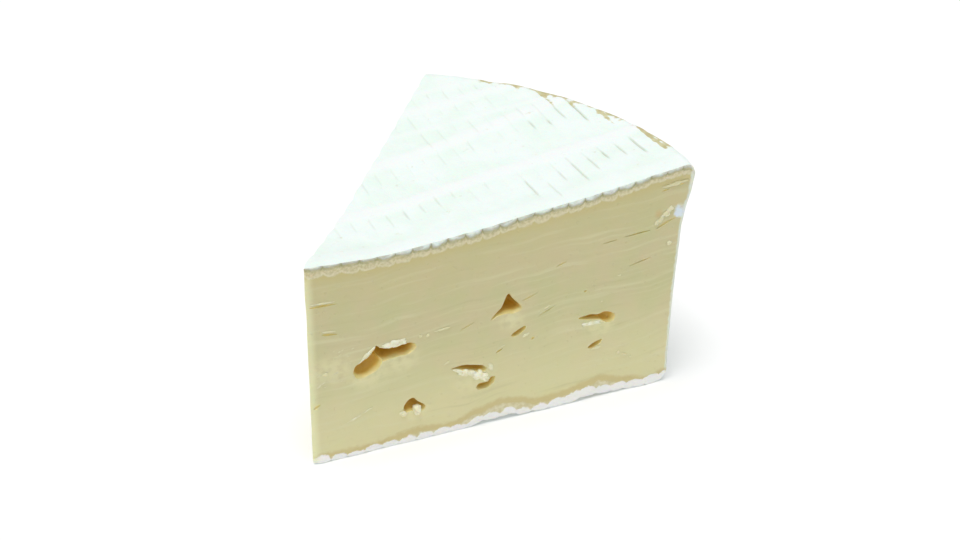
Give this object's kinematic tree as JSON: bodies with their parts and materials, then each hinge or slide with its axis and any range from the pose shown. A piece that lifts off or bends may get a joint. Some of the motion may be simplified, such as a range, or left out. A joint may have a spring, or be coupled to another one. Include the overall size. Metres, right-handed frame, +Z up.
{
  "type": "cheese wedge",
  "caption": "Wedge cut from a thick bloomy-rind soft cheese wheel, with a dished white mat-printed top, a curved lipped rim, and two cut faces of pale paste with small eyes.",
  "frame": {"origin": "on the surface the wedge rests on, under the middle of its bounding box", "axes": "+X runs along the front cut face from the tip towards the rind side, -Y is that cut face's outward normal, +Z is up through the dished top rind"},
  "size_m": [0.1046, 0.0806, 0.063],
  "materials": {
    "cheese": "soft, slightly moist ivory paste under a dry, felty white mould rind"
  },
  "bodies": {
    "root": {"cheese_wedge": "cheese"}
  },
  "joints": []
}
